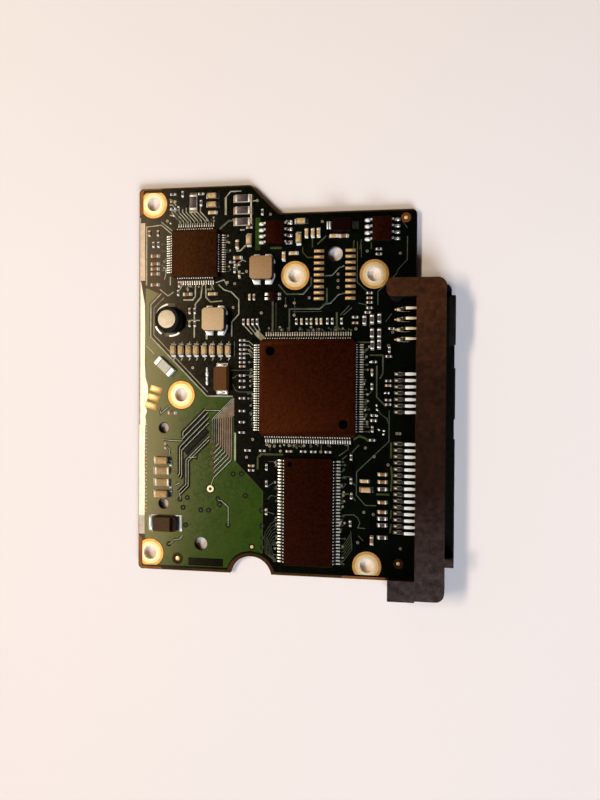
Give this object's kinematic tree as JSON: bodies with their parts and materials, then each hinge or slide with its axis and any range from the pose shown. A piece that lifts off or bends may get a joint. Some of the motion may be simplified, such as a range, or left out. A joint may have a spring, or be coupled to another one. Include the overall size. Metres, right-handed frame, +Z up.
{
  "type": "hard drive circuit board",
  "caption": "Flat stepped circuit board with chips, inductors, plated screw holes and a moulded edge connector for a hard drive's data, power and jumpers.",
  "frame": {"origin": "middle of the part's outline, on the board's outer face that it lies on", "axes": "+X towards the edge connector's mating side, +Y along the board's long side, +Z up from the board's component side"},
  "size_m": [0.066, 0.0834, 0.006],
  "materials": {
    "solder_mask": "dark green solder mask over glass fibre laminate",
    "gold_plate": "thin gold over copper",
    "tin_plate": "tin plated leads and solder",
    "mould_compound": "black-brown moulding compound, fine matt",
    "connector_plastic": "black-brown glass filled moulding",
    "ferrite": "pale tan pressed ferrite",
    "dark_ferrite": "black ferrite and base",
    "winding": "varnished winding",
    "tantalum_case": "brown moulded case",
    "capacitor_ceramic": "tan ceramic between tin ends",
    "resistor_glaze": "dark glaze on white ceramic",
    "sensor_case": "pale ceramic"
  },
  "bodies": {
    "root": {"capacitors_0805": "capacitor_ceramic", "capacitors_1206": "capacitor_ceramic", "chips_0402": "capacitor_ceramic", "chips_0603": "capacitor_ceramic", "circuit_board": "solder_mask", "connector_housing": "connector_plastic", "controller_body": "mould_compound", "controller_leads": "tin_plate", "diode_body": "mould_compound", "diode_ends": "tin_plate", "driver_body": "mould_compound", "driver_leads": "tin_plate", "drum_base": "dark_ferrite", "drum_flange": "dark_ferrite", "drum_terminals": "tin_plate", "drum_winding": "winding", "flash_body": "mould_compound", "flash_leads": "tin_plate", "inductor_core_1": "ferrite", "inductor_core_2": "ferrite", "inductor_terminals_1": "tin_plate", "inductor_terminals_2": "tin_plate", "jumper_pins": "tin_plate", "memory_body": "mould_compound", "memory_leads": "tin_plate", "mosfet_body": "mould_compound", "mosfet_leads": "tin_plate", "power_contacts": "tin_plate", "rectifier_body": "mould_compound", "rectifier_ends": "tin_plate", "resistors_1206": "resistor_glaze", "shock_sensor_body": "sensor_case", "shock_sensor_ends": "tin_plate", "signal_contacts": "tin_plate", "tantalum_body": "tantalum_case", "tantalum_ends": "tin_plate", "transistor_body": "mould_compound", "transistor_leads": "tin_plate"}
  },
  "joints": []
}
